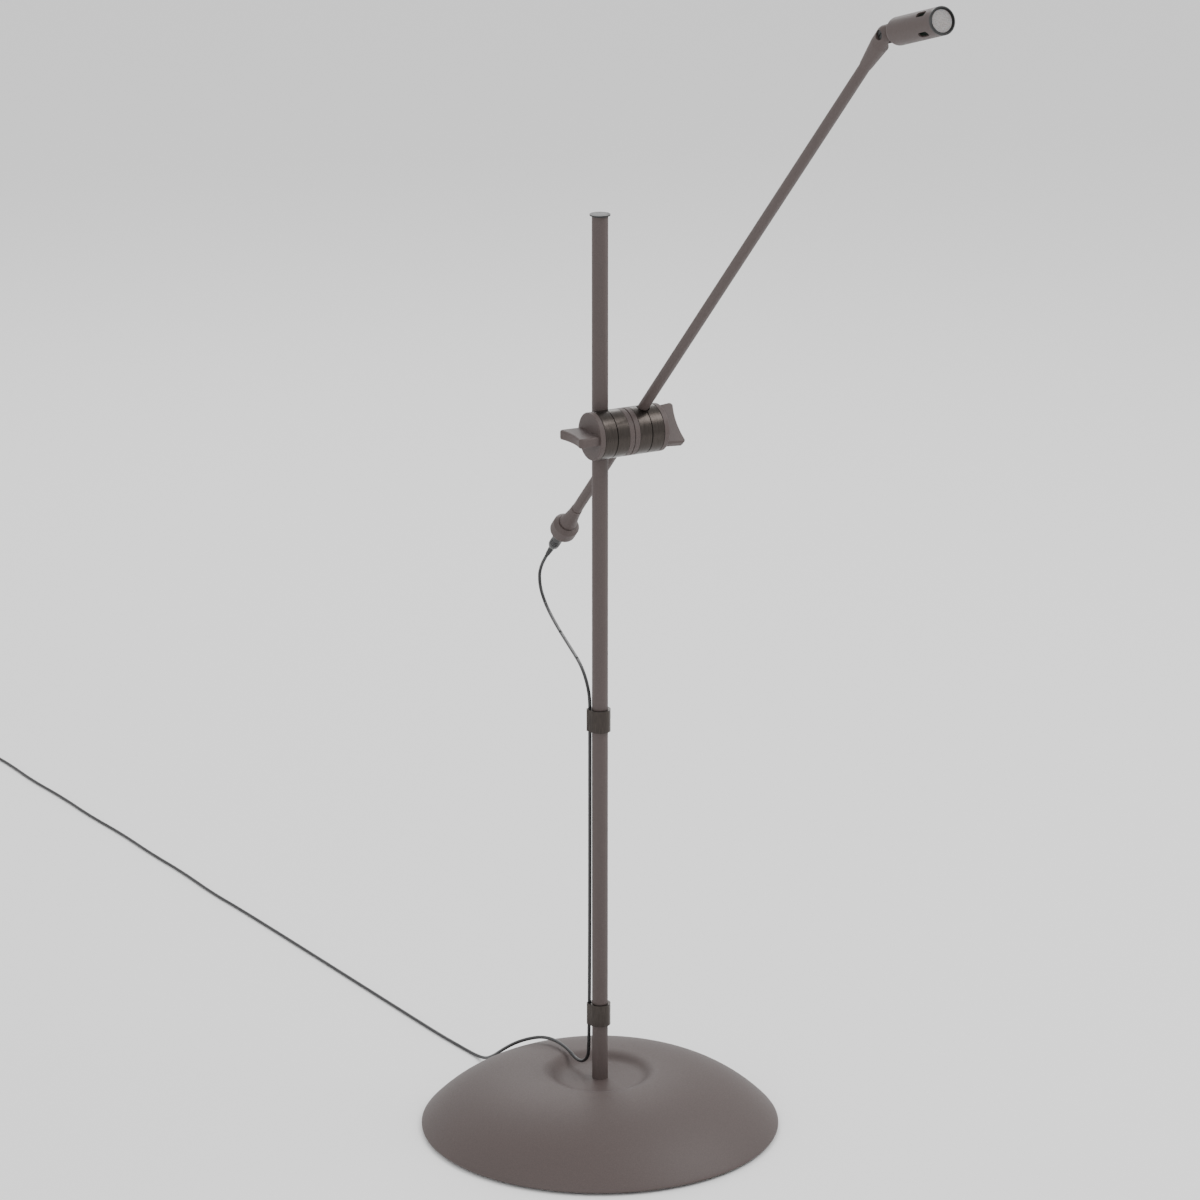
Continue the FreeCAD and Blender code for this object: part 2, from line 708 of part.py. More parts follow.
def wing_knob(label, side, seam, turn):
    """A round flange with a flared wing across it, on the stud's end."""
    top = "(wing_height + knob_flange)"
    tip = "(wing_outer / 2 - wing_corner)"
    valley = f"({tip} ^ 2 + wing_valley ^ 2) / (2 * wing_valley)"
    plate = padded(label + "_plate", [
        ("0 - wing_root / 2", "0.5"),
        ("wing_root / 2", "0.5"),
        ("wing_outer / 2", f"{top} - wing_corner"),
        (tip, top, "wing_corner", 1),
        (f"0 - {tip}", top, valley, -1),
        ("0 - wing_outer / 2", f"{top} - wing_corner", "wing_corner", 1),
    ], "wing_thickness")
    form = softened(label + "_wing", plate, size("wing_edge"), outer_rim_of_wing)
    flange = cylinder(label + "_flange", "barrel_radius", "knob_flange - knob_gap", (0, 0, "knob_gap"))
    whole = fused(label + "_whole", flange, form)
    hole = cylinder(label + "_hole", "stud_radius + running_clearance",
                    "knob_flange + stud_overhang + 1.0")
    bored = cut(label + "_bored", whole, hole)
    rim = softened(label + "_form", bored, 0.6, circle_at(size("barrel_radius"), size("knob_flange")))
    outward = Rotation(Vector(0, 1, 0), 90 * side)
    # the wing's own X axis is laid along the row's Y axis, then turned about the stud
    spin = Rotation(Vector(0, 0, 1), 90)
    about = Rotation(Vector(1, 0, 0), turn)
    start = size_of(seam) + side * size("jaw_length")
    place = Placement(BARREL.Base + Vector(start, 0, 0), about.multiply(outward).multiply(spin))
    node(label, rim, place)


# ---- arm ------------------------------------------------------------------------------------

def arm_parts():
    bore = "arm_radius - arm_wall"
    length = "arm_upper + arm_lower"
    outer = cylinder("arm_outer", "arm_radius", length, (0, 0, "0 - arm_lower"))
    inner = cylinder("arm_inner", bore, length, (0, 0, "0 - arm_lower"))
    node("arm_tube", cut("arm_bored", outer, inner), ARM)
    node("arm_wire", cylinder("wire_form", "wire_radius", "arm_upper + arm_lower - 2",
                              (0, 0, "1 - arm_lower")), ARM)

    knuckle_start = "(arm_pivot - knuckle_radius * 1.7 - knuckle_cone_length)"
    knuckle_end = "(arm_pivot - knuckle_radius * 1.7)"
    taper = cone("knuckle_taper", "arm_radius + 0.4", "knuckle_radius", "knuckle_cone_length",
                 (0, 0, knuckle_start))
    neck = cylinder("knuckle_neck", "knuckle_radius", "knuckle_radius * 1.7", (0, 0, knuckle_end))
    ball = ball_at("knuckle_ball", "arm_pivot")
    whole = fused("knuckle_whole", taper, neck, ball)
    far_half = block("knuckle_far_half", "knuckle_radius + 1", "4 * knuckle_radius",
                     "4 * knuckle_radius",
                     ("0 - knuckle_gap", "0 - 2 * knuckle_radius", knuckle_end))
    tube_hole = cylinder("knuckle_tube_hole", "arm_radius", "arm_upper", (0, 0, 0))
    pin_hole = cylinder("knuckle_pin_hole", "knuckle_screw_radius", "knuckle_thickness",
                        ("0 - knuckle_gap - knuckle_thickness", 0, "arm_pivot"), TO_X)
    head_room = cylinder("knuckle_head_room", "knuckle_screw_head",
                         "knuckle_radius - knuckle_gap - knuckle_thickness + 2.4",
                         ("0 - knuckle_radius - 1", 0, "arm_pivot"), TO_X)
    node("arm_knuckle", cut("knuckle_form", whole, far_half, tube_hole, pin_hole, head_room), ARM)

    shaft = cylinder("screw_shaft", "knuckle_screw_radius",
                     "2 * knuckle_thickness + 2 * knuckle_gap + knuckle_nut_thickness + 0.6",
                     ("0 - knuckle_gap - knuckle_thickness", 0, "arm_pivot"), TO_X)
    head = cylinder("screw_head", "knuckle_screw_head", "1.4",
                    ("0 - knuckle_gap - knuckle_thickness", 0, "arm_pivot"), TO_X)
    slot = block("screw_slot", "0.6", "0.9", "4.4",
                 ("0 - knuckle_gap - knuckle_thickness", "0 - 0.45", "arm_pivot - 2.2"))
    node("knuckle_screw", cut("screw_form", fused("screw_whole", shaft, head), slot), ARM)
    nut_start = "knuckle_gap + knuckle_thickness + 0.6"
    node("knuckle_washer", ring_x("knuckle_washer", "knuckle_nut_radius + 0.6", "0.5",
                                  "knuckle_gap + knuckle_thickness + 0.1"), ARM)
    node("knuckle_nut", ring_x("knuckle_nut", "knuckle_nut_radius", "knuckle_nut_thickness",
                               nut_start), ARM)


def ball_at(name, height):
    """The round end of a knuckle half."""
    ball = doc.addObject("Part::Sphere", name)
    bind(ball, "Radius", "knuckle_radius")
    return put(ball, (0, 0, height))


def ring_x(name, radius, thickness, start):
    """A washer or nut on the knuckle screw."""
    disc = cylinder(name + "_disc", radius, thickness, (start, 0, "arm_pivot"), TO_X)
    hole = cylinder(name + "_hole", "knuckle_screw_radius", thickness, (start, 0, "arm_pivot"), TO_X)
    return cut(name + "_form", disc, hole)


def lower_end_parts():
    """The tail of the arm: a flared ferrule, the turning collar on its spigot, ring and socket."""
    flare_end = "(0 - arm_lower)"
    ferrule = turned("ferrule_outline_form", [
        ("arm_radius", f"{flare_end} + cone_length"),
        ("arm_radius", f"{flare_end}"),
        ("socket_radius", flare_end),
        ("socket_radius", f"{flare_end} - spigot_length"),
        ("spigot_radius", f"{flare_end} - spigot_length"),
        ("spigot_radius", f"{flare_end} - 0.2"),
        ("cone_radius", f"{flare_end} - 0.2"),
        ("cone_radius", f"{flare_end} + 1.5"),
        ("arm_radius + 0.35", f"{flare_end} + cone_length", "cone_length * 5", -1),
    ])
    node("arm_ferrule", ferrule, ARM)

    top = f"({flare_end} - 0.2 - collar_gap)"
    bottom = f"({top} - collar_length)"
    inside = "spigot_radius + running_clearance"
    collar = turned("collar_outline_form", [
        (inside, top),
        (inside, bottom),
        ("collar_radius - 2.4", bottom),
        ("collar_radius", f"{bottom} + 2.4", "2.6", 1),
        ("collar_radius", f"{top} - 3.2"),
        ("collar_radius - 2.6", top),
    ])
    ridge = cylinder("collar_mark", "0.5", "5.0", ("collar_radius - 0.2", 0, f"{bottom} + 3.6"))
    node("dimmer_collar", cut("collar_form", collar, ridge), ARM)

    ring_top = f"({flare_end} - spigot_length)"
    ring = cylinder("ring_disc", "ring_radius", "ring_thickness", (0, 0, f"{ring_top} - ring_thickness"))
    ring_hole = cylinder("ring_hole", "plug_barrel_radius + 0.6", "ring_thickness",
                         (0, 0, f"{ring_top} - ring_thickness"))
    node("collar_ring", cut("ring_form", ring, ring_hole), ARM)

    socket_top = f"({ring_top} + socket_length)"
    socket = cylinder("socket_body", "socket_radius", "socket_length", (0, 0, ring_top))
    socket_hole = cylinder("socket_hole", "plug_barrel_radius + running_clearance",
                           "plug_barrel_length", (0, 0, ring_top))
    node("plug_socket", cut("socket_form", socket, socket_hole), ARM)
    board = cylinder("board_disc", "socket_radius", "board_thickness", (0, 0, f"{socket_top} + 0.4"))
    board_hole = cylinder("board_hole", "wire_radius + 0.3", "board_thickness",
                          (0, 0, f"{socket_top} + 0.4"))
    node("dimmer_board", cut("board_form", board, board_hole), ARM)

    seat = f"({ring_top} - ring_thickness - 0.3)"
    barrel = cylinder("plug_barrel_tube", "plug_barrel_radius",
                      "plug_barrel_length + ring_thickness - 0.5", (0, 0, seat))
    node("plug_barrel", barrel, ARM)
    relief_end = f"({seat} - plug_length - relief_length)"
    plug = turned("plug_outline_form", [
        ("0", seat),
        ("0", relief_end),
        ("cord_radius + 0.3", relief_end),
        ("relief_radius", f"{seat} - plug_length - 2"),
        ("plug_radius", f"{seat} - plug_length + 2"),
        ("plug_radius", f"{seat} - 0.6"),
        ("plug_radius - 0.6", seat),
    ])
    node("lead_plug", plug, ARM)
    return size_of(relief_end)


# ---- spot head ------------------------------------------------------------------------------

def head_parts():
    back_end = "(head_back_start + head_back_length)"
    cap = turned("head_cap_form", [
        ("0", "head_back_start"),
        ("head_radius - 4.5", "head_back_start"),
        ("head_radius", "head_back_start + 4.5", "4.8", 1),
        ("head_radius", back_end),
        ("head_radius - head_wall", back_end),
        ("head_radius - head_wall", f"{back_end} + head_spigot_length"),
        ("head_radius - head_wall - 1.5", f"{back_end} + head_spigot_length"),
        ("head_radius - head_wall - 1.5", f"{back_end} - 2"),
        ("0", f"{back_end} - 2"),
    ])
    neck = cylinder("head_neck", "knuckle_radius", "head_back_start + 2.5")
    near_half = block("head_near_half", "knuckle_radius + 1", "4 * knuckle_radius",
                      "head_back_start + knuckle_radius + 0.5",
                      ("knuckle_gap - knuckle_radius - 1", "0 - 2 * knuckle_radius",
                       "0 - knuckle_radius - 1"))
    pin = cylinder("head_pin_hole", "knuckle_screw_radius + running_clearance",
                   "knuckle_radius + 1", (0, 0, 0), TO_X)
    nut_room = cylinder("head_nut_room", "knuckle_nut_radius + 0.9", "knuckle_radius",
                        ("knuckle_gap + knuckle_thickness", 0, 0), TO_X)
    whole = fused("head_back_whole", cap, neck, ball_at("head_ball", 0))
    node("head_back", cut("head_back_form", whole, near_half, pin, nut_room), HEAD)

    body_length = f"head_length - bezel_length - {back_end}"
    outside = cylinder("body_outside", "head_radius", body_length, (0, 0, back_end))
    inside = cylinder("body_inside", "head_radius - head_wall", body_length, (0, 0, back_end))
    slots = [vent(n) for n in range(VENT_COUNT)]
    node("head_body", cut("body_form", outside, inside, *slots), HEAD)

    bezel_start = "(head_length - bezel_length)"
    seat = "(head_radius - head_wall - bezel_ledge)"
    bezel = turned("bezel_outline_form", [
        ("head_radius - head_wall", f"{bezel_start} - 3"),
        ("head_radius - head_wall", bezel_start),
        ("head_radius", bezel_start),
        ("head_radius", "head_length - 0.6"),
        ("head_radius - 0.6", "head_length"),
        ("head_radius - bezel_lip", "head_length"),
        ("head_radius - bezel_lip", "head_length - lens_recess"),
        (seat, "head_length - lens_recess"),
        (seat, f"{bezel_start} - 3"),
    ])
    node("head_bezel", bezel, HEAD)
    lens = cylinder("lens_form", f"{seat} - seat_clearance", "lens_thickness",
                    (0, 0, "head_length - lens_recess - lens_thickness"))
    node("head_lens", lens, HEAD)

    core = cylinder("sink_core", "head_radius - head_wall - seat_clearance", "sink_length",
                    (0, 0, "sink_start"))
    fin_pitch = f"(sink_length - fin_thickness) / {FIN_COUNT - 1}"
    gaps = []
    for n in range(FIN_COUNT - 1):
        start = f"sink_start + fin_thickness + {n} * {fin_pitch}"
        gap = cylinder(f"fin_gap_{n}", "head_radius", f"{fin_pitch} - fin_thickness",
                       (0, 0, start))
        keep = cylinder(f"fin_core_{n}", "head_radius - head_wall - fin_depth", "sink_length",
                        (0, 0, start))
        gaps.append(cut(f"fin_ring_{n}", gap, keep))
    node("heat_sink", cut("sink_form", core, *gaps), HEAD)
    board_start = "(sink_start + sink_length)"
    node("led_board", cylinder("led_board_form", "head_radius - head_wall - 0.5", "board_thickness",
                               (0, 0, board_start)), HEAD)
    chip = block("chip_form", "chip_side", "chip_side", "chip_thickness",
                 ("0 - chip_side / 2", "0 - chip_side / 2", f"{board_start} + board_thickness"))
    node("led_chip", chip, HEAD)
    cup_start = f"({board_start} + board_thickness)"
    cup_end = f"({bezel_start} - 3.2)"
    cup = turned("cup_outline_form", [
        ("chip_side * 0.75", cup_start),
        ("chip_side * 0.75 + 0.8", cup_start),
        ("head_radius - head_wall - 0.5", cup_end),
        ("head_radius - head_wall - 1.3", cup_end),
    ])
    node("reflector_cup", cup, HEAD)


def vent(n):
    """One long slot through the head's wall near its front."""
    turn = Rotation(Vector(0, 0, 1), 45 + 360 / VENT_COUNT * n)
    straight = "(vent_length - vent_width)"
    middle = block(f"vent_middle_{n}", "head_radius", "vent_width", straight,
                   ("head_wall * 3", "0 - vent_width / 2", "vent_start + vent_width / 2"))
    ends = [cylinder(f"vent_end_{n}_{k}", "vent_width / 2", "head_radius",
                     ("head_wall * 3", 0, f"vent_start + vent_width / 2 + {straight} * {k}"), TO_X)
            for k in range(2)]
    slot = fused(f"vent_{n}", middle, *ends)
    slot.Placement = Placement(Vector(), turn)
    return slot


# ---- cord -----------------------------------------------------------------------------------

CORD_SIDE = CLIP_TURN.multVec(Vector(size_of(CORD_OFFSET), 0, 0))
FLOOR = size("cord_radius")
COIL_CENTRE = Vector(-98.5, 1110, 0)

HANGING_ROUTE = [
    (28.8, 147.5, 401.4),
    (30.5, 152.0, 385.5),
    (28.5, 139.0, 373.5),
    (20.0, 106.0, 367.0),
    (9.6, 64.0, 362.0),
    (1.6, 33.0, 359.0),
    (-4.2, 12.8, 352.0),
    (CORD_SIDE.x, CORD_SIDE.y, 342.0),
    (CORD_SIDE.x, CORD_SIDE.y, 334.5),
]
STEM_AND_BASE_ROUTE = [
    (CORD_SIDE.x, CORD_SIDE.y, 334.5),
    (CORD_SIDE.x, CORD_SIDE.y, 62.0),
    (-6.4, 9.8, 49.5),
    (-6.0, 24.0, 43.8),
    (-5.6, 42.0, 48.0),
    (-5.6, 62.0, 47.6),
    (-7.0, 80.0, 44.0),
    (-10.5, 95.0, 37.8),
    (-15.0, 108.5, 30.5),
    (-18.5, 122.0, 21.0),
    (-20.5, 135.0, 11.0),
    (-21.0, 148.5, 3.6),
    (-21.8, 164.0, FLOOR),
    (-23.5, 180.0, FLOOR),
]
FLOOR_ROUTE = [
    (-23.5, 180.0, FLOOR),
    (-26.6, 209.0, FLOOR),
    (-28.7, 240.0, FLOOR),
    (-46.5, 538.0, FLOOR),
    (-52.0, 594.0, FLOOR),
    (-53.0, 652.0, FLOOR),
    (-58.0, 710.0, FLOOR),
    (-60.0, 769.0, FLOOR),
    (-66.0, 826.0, FLOOR),
    (-68.0, 884.0, FLOOR),
    (-74.0, 940.0, FLOOR),
    (-75.0, 998.0, FLOOR),
    (-81.5, 1048.0, FLOOR),
    (-84.0, 1078.0, FLOOR),
    (-84.0, 1097.0, FLOOR),
]
TAIL_ROUTE = [
    (-82.7, 1120.6, 3.9),
    (-82.7, 1131.0, 4.4),
    (-82.7, 1141.0, 5.6),
]


def cord(label, route):
    """A round cord along straight runs joined by tangent arcs, each as large as its runs allow."""
    points = [Vector(*point) for point in route]
    edges, radii, at = [], [], points[0]
    for before, corner, after in zip(points, points[1:], points[2:]):
        back, ahead = before - corner, after - corner
        half_turn = (math.pi - back.getAngle(ahead)) / 2
        reach = 0.45 * min(back.Length, ahead.Length)
        radii.append(reach / math.tan(half_turn))
        enter = corner + back * (reach / back.Length)
        leave = corner + ahead * (reach / ahead.Length)
        inward = (back / back.Length + ahead / ahead.Length).normalize()
        middle = corner + inward * radii[-1] * (1 / math.cos(half_turn) - 1)
        edges += [Part.LineSegment(at, enter).toShape(), Part.Arc(enter, middle, leave).toShape()]
        at = leave
    edges.append(Part.LineSegment(at, points[-1]).toShape())
    path = Part.Wire(edges)
    round_end = Part.Wire(Part.makeCircle(size("cord_radius"), points[0], points[1] - points[0]))
    swept = doc.addObject("Part::Feature", label + "_swept")
    swept.Shape = path.makePipeShell([round_end], True, True)
    node(label, swept)
    expected = math.pi * size("cord_radius") ** 2 * path.Length
    print(f"{label}: length {path.Length:.1f}, least radius {min(radii):.1f},"
          f" volume {swept.Shape.Volume:.0f} of {expected:.0f}")


def cord_parts(plug_end):
    start = ARM.multVec(Vector(0, 0, plug_end))
    cord("cord_hanging", [tuple(start), *HANGING_ROUTE])
    cord("cord_stem_run", STEM_AND_BASE_ROUTE)
    cord("cord_floor_run", FLOOR_ROUTE)
    cord("cord_tail", TAIL_ROUTE)


def coil_parts():
    """The put-away length as one ring, and the tie round its far side."""
    outside = "coil_radius + coil_half_width"
    inside = "coil_radius - coil_half_width"
    ring = cut("coil_ring", cylinder("coil_outside", outside, "coil_height"),
               cylinder("coil_inside", inside, "coil_height"))
    edges = [(r, z) for r in (size_of(outside), size_of(inside)) for z in (0.0, size("coil_height"))]
    rounded = softened("coil_form", ring, 1.2, lambda edge: any(circle_at(*e)(edge) for e in edges))
    at_coil = Placement(COIL_CENTRE, Rotation())
    node("cord_coil", rounded, at_coil)

    wide = "(2 * coil_half_width + 2 * tie_clearance)"
    room_start = "0 - coil_radius - coil_half_width - tie_clearance"
    around = block("tie_around", f"{wide} + 2 * tie_thickness", "tie_width",
                   "coil_height + tie_clearance + tie_thickness",
                   (f"{room_start} - tie_thickness", "0 - tie_width / 2", 0))
    room = block("tie_room", wide, "tie_width", "coil_height + tie_clearance",
                 (room_start, "0 - tie_width / 2", 0))
    node("coil_tie", cut("tie_form", around, room), at_coil)


def adapter_parts():
    """The wall adapter that the cord ends in, with its gland and two plug pins."""
    end = Vector(*TAIL_ROUTE[-1])
    at_gland = Placement(end, Rotation())
    low = f"0 - {end.z}"
    case = block("adapter_case", "adapter_width", "adapter_length", "adapter_height",
                 ("0 - adapter_width / 2", "adapter_gland_length", low))
    body = softened("adapter_rounded", case, 3.0, lambda edge: True)
    node("adapter_body", body, at_gland)
    gland = doc.addObject("Part::Cone", "gland_form")
    bind(gland, "Radius1", "cord_radius + 0.3")
    bind(gland, "Radius2", "adapter_gland_radius")
    bind(gland, "Height", "adapter_gland_length")
    node("adapter_strain_relief", gland,
         Placement(end, Rotation(Vector(1, 0, 0), -90)))
    pins = [cylinder(f"adapter_pin_{n}", "pin_radius", "pin_length", (
        f"pin_spacing / 2 * {side}", "adapter_gland_length + adapter_length",
        f"{low} + adapter_height / 2"), Rotation(Vector(1, 0, 0), -90))
        for n, side in enumerate((-1, 1))]
    node("adapter_pins", fused("adapter_pin_pair", *pins), at_gland)


# ---- build ----------------------------------------------------------------------------------

base_shell()
ballast_disc()
base_plate()
plate_screws()
foot_pad()
stem_parts()
clip("lower_cord_clip", "lower_clip_screw", size("clip_low"))
clip("upper_cord_clip", "upper_clip_screw", size("clip_high"))
clamp_parts()
wing_knob("stem_knob", -1, STEM_SEAM, STEM_KNOB_TURN)
wing_knob("arm_knob", 1, ARM_SEAM, ARM_KNOB_TURN)
arm_parts()
cord_parts(lower_end_parts())
head_parts()
coil_parts()
adapter_parts()

doc.recompute()
failed = [thing.Name for thing in doc.Objects
          if "Invalid" in thing.State or "Error" in thing.State]
failed += [thing.Label for thing in NODES if thing.Shape.isNull() or not thing.Shape.isValid()]
if failed:
    raise RuntimeError("these did not build: " + ", ".join(failed))

os.makedirs("parts", exist_ok=True)
for thing in NODES:
    thing.Shape.exportStep(f"parts/{thing.Label}.step")
print(f"{len(NODES)} sub-parts written")
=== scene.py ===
"""A desk lamp with a domed base, a split-barrel clamp and a small spot on a sliding arm.

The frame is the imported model. This file gives every node its finish, and adds the lead, the
pressed base, the ribbed plug and gland, the floor, the lights and the camera.
"""

import json
import math

import bmesh
import bpy
from mathutils import Matrix, Vector


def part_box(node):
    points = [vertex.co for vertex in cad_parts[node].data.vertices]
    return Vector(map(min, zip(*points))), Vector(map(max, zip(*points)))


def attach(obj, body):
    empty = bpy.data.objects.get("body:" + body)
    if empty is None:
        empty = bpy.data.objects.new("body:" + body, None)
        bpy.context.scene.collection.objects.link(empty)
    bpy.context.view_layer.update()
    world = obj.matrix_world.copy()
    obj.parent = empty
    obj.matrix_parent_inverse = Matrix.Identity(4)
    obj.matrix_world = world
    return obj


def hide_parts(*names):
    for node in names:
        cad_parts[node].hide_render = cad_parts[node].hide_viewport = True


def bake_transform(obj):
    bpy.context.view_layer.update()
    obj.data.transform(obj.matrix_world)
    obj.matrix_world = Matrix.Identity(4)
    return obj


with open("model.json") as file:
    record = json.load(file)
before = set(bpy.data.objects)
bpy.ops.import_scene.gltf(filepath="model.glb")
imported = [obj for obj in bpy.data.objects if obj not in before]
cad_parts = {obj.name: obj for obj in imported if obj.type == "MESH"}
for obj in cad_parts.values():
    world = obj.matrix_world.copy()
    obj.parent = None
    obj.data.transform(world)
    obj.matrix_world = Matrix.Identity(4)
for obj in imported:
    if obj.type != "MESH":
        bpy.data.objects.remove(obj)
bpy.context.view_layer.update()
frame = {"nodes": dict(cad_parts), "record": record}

bl_info = {
    "name": "Swing arm desk lamp",
    "version": (1, 0, 0),
    "blender": (4, 5, 0),
    "location": "View3D > Sidebar > Lamp",
    "description": "Finishes, lead and studio for a desk lamp with a clamped arm",
    "category": "Object",
}

MM = 0.001
ARM_LEAN = math.radians(44.5)
ARM_UP = Vector((0, -math.sin(ARM_LEAN), math.cos(ARM_LEAN)))


# ---- settings -------------------------------------------------------------------------------

def colour(name, description, value):
    return bpy.props.FloatVectorProperty(
        name=name, description=description, subtype="COLOR", size=3, min=0, max=1, default=value)


def length(name, description, value):
    return bpy.props.FloatProperty(
        name=name, description=description, subtype="DISTANCE", unit="LENGTH", default=value)


class LampColours(bpy.types.PropertyGroup):
    """The finishes that a user would change."""
    taupe: colour("Powder coat", "Stem, arm, base, knobs and head", (0.070, 0.053, 0.050))
    bronze: colour("Jaw rings", "Satin metal of the jaws and cord clips", (0.046, 0.039, 0.035))
    black: colour("Black plastic", "Stem cap, bezel and screws", (0.012, 0.012, 0.012))
    lead: colour("Lead", "Jacket of the lead and its moulded ends", (0.011, 0.011, 0.012))
    lens: colour("Lens", "Frosted diffuser of the spot", (0.27, 0.235, 0.228))
    floor: colour("Floor", "Table top that the lamp stands on", (0.90, 0.90, 0.90))


class LampSizes(bpy.types.PropertyGroup):
    """The sizes of the pieces that are added to the frame."""
    lead_diameter: length("Lead diameter", "Outer diameter of the lead", 2.6 * MM)
    coil_centre_x: length("Coil centre X", "Middle of the put-away turns", -98.5 * MM)
    coil_centre_y: length("Coil centre Y", "Middle of the put-away turns", 1110.0 * MM)
    coil_outer: length("Coil outer radius", "Centreline of the outermost turn", 17.1 * MM)
    floor_width: length("Floor width", "Side of the square floor", 24.0)


# ---- nodes of a material --------------------------------------------------------------------

class Finish:
    """A material with its Principled shader, and short calls that add pattern nodes to it."""

    def __init__(self, name, base, roughness, metallic=0.0):
        self.material = bpy.data.materials.new(name)
        self.material.use_nodes = True
        self.tree = self.material.node_tree
        self.shader = self.tree.nodes["Principled BSDF"]
        self.shader.inputs["Base Color"].default_value = (*base, 1)
        self.shader.inputs["Roughness"].default_value = roughness
        self.shader.inputs["Metallic"].default_value = metallic
        self.base = base
        self.coords = self.tree.nodes.new("ShaderNodeTexCoord").outputs["Object"]

    def link(self, source, target):
        self.tree.links.new(source, target)

    def mapped(self, scale):
        """Object coordinates stretched by three factors."""
        mapping = self.tree.nodes.new("ShaderNodeMapping")
        mapping.inputs["Scale"].default_value = scale
        self.link(self.coords, mapping.inputs["Vector"])
        return mapping.outputs["Vector"]

    def noise(self, scale, detail=3.0, rough=0.55, stretch=(1, 1, 1)):
        pattern = self.tree.nodes.new("ShaderNodeTexNoise")
        pattern.inputs["Scale"].default_value = scale
        pattern.inputs["Detail"].default_value = detail
        pattern.inputs["Roughness"].default_value = rough
        self.link(self.mapped(stretch), pattern.inputs["Vector"])
        return pattern.outputs["Fac"]

    def cells(self, scale):
        pattern = self.tree.nodes.new("ShaderNodeTexVoronoi")
        pattern.inputs["Scale"].default_value = scale
        self.link(self.coords, pattern.inputs["Vector"])
        return pattern.outputs["Distance"]

    def shades(self, pattern, low, high, start=0.3, end=0.7):
        """Colour the surface between two multiples of the base colour."""
        ramp = self.tree.nodes.new("ShaderNodeValToRGB")
        for stop, place, factor in zip(ramp.color_ramp.elements, (start, end), (low, high)):
            stop.position = place
            stop.color = (*(min(1, part * factor) for part in self.base), 1)
        self.link(pattern, ramp.inputs["Fac"])
        self.link(ramp.outputs["Color"], self.shader.inputs["Base Color"])
        return self

    def gloss(self, pattern, low, high):
        """Vary the roughness between two values."""
        spread = self.tree.nodes.new("ShaderNodeMapRange")
        spread.inputs["From Min"].default_value = 0.3
        spread.inputs["From Max"].default_value = 0.7
        spread.inputs["To Min"].default_value = low
        spread.inputs["To Max"].default_value = high
        self.link(pattern, spread.inputs["Value"])
        self.link(spread.outputs["Result"], self.shader.inputs["Roughness"])
        return self

    def relief(self, pattern, depth, strength=1.0):
        """Raise the surface by a pattern; a second call adds to the first."""
        bump = self.tree.nodes.new("ShaderNodeBump")
        bump.inputs["Distance"].default_value = depth
        bump.inputs["Strength"].default_value = strength
        self.link(pattern, bump.inputs["Height"])
        under = self.shader.inputs["Normal"]
        if under.is_linked:
            self.link(under.links[0].from_socket, bump.inputs["Normal"])
        self.link(bump.outputs["Normal"], under)
        return self

    def set(self, **values):
        for name, value in values.items():
            self.shader.inputs[name.replace("_", " ")].default_value = value
        return self


# ---- finishes -------------------------------------------------------------------------------

def powder_coat(name, base):
    """Satin powder coat: an orange-peel skin with a fine speckled grain."""
    coat = Finish(name, base, 0.55)
    coat.shades(coat.noise(1500, 3), 0.88, 1.14)
    coat.gloss(coat.noise(900, 3), 0.50, 0.60)
    coat.relief(coat.noise(950, 2, 0.5), 0.00008, 0.5)
    coat.relief(coat.noise(3200, 2, 0.6), 0.00004, 0.6)
    return coat.set(Specular_IOR_Level=0.35).material


def satin_metal(name, base):
    """Dark anodised metal with fine turning marks and soft, streaky gloss."""
    metal = Finish(name, base, 0.3, 0.9)
    streaks = metal.noise(400, 4, 0.6, (6, 0.35, 0.35))
    metal.shades(streaks, 0.8, 1.35)
    metal.gloss(metal.noise(45, 3), 0.24, 0.38)
    metal.relief(streaks, 0.00003, 0.6)
    return metal.material


def moulded(name, base, roughness, grain=0.00006):
    """Moulded plastic with a fine spark-eroded grain."""
    plastic = Finish(name, base, roughness)
    plastic.shades(plastic.noise(14, 3), 0.85, 1.2)
    plastic.gloss(plastic.noise(60, 3), roughness * 0.85, roughness * 1.2)
    plastic.relief(plastic.noise(1800, 2), grain, 0.6)
    return plastic.material


def jacket(name, base):
    """The lead's smooth flexible jacket, with soft sheen and faint scuffs."""
    sleeve = Finish(name, base, 0.3)
    sleeve.shades(sleeve.noise(60, 3), 0.8, 1.3)
    sleeve.gloss(sleeve.noise(300, 4), 0.24, 0.4)
    sleeve.relief(sleeve.noise(700, 2), 0.00003, 0.5)
    return sleeve.material


def cast_iron(name, base):
    """Rough sand-cast iron."""
    iron = Finish(name, base, 0.75, 0.6)
    iron.shades(iron.noise(60, 6), 0.7, 1.3)
    iron.gloss(iron.noise(120, 3), 0.6, 0.9)
    iron.relief(iron.noise(420, 5, 0.7), 0.0004, 0.8)
    return iron.material


def machined(name, base, roughness=0.3):
    """Turned or plated metal with fine tool marks and slight clouding."""
    metal = Finish(name, base, roughness, 1.0)
    marks = metal.noise(900, 3, 0.6, (1, 1, 5))
    metal.shades(metal.noise(30, 3), 0.88, 1.08)
    metal.gloss(marks, roughness * 0.8, roughness * 1.3)
    metal.relief(marks, 0.00002, 0.5)
    return metal.material


def felt(name, base):
    """Pressed felt: short matted fibres."""
    cloth = Finish(name, base, 0.95)
    fibres = cloth.noise(1400, 6, 0.75)
    cloth.shades(fibres, 0.6, 1.5, 0.35, 0.65)
    cloth.relief(fibres, 0.0004, 0.9)
    return cloth.set(Sheen_Weight=0.4, Sheen_Roughness=0.5).material


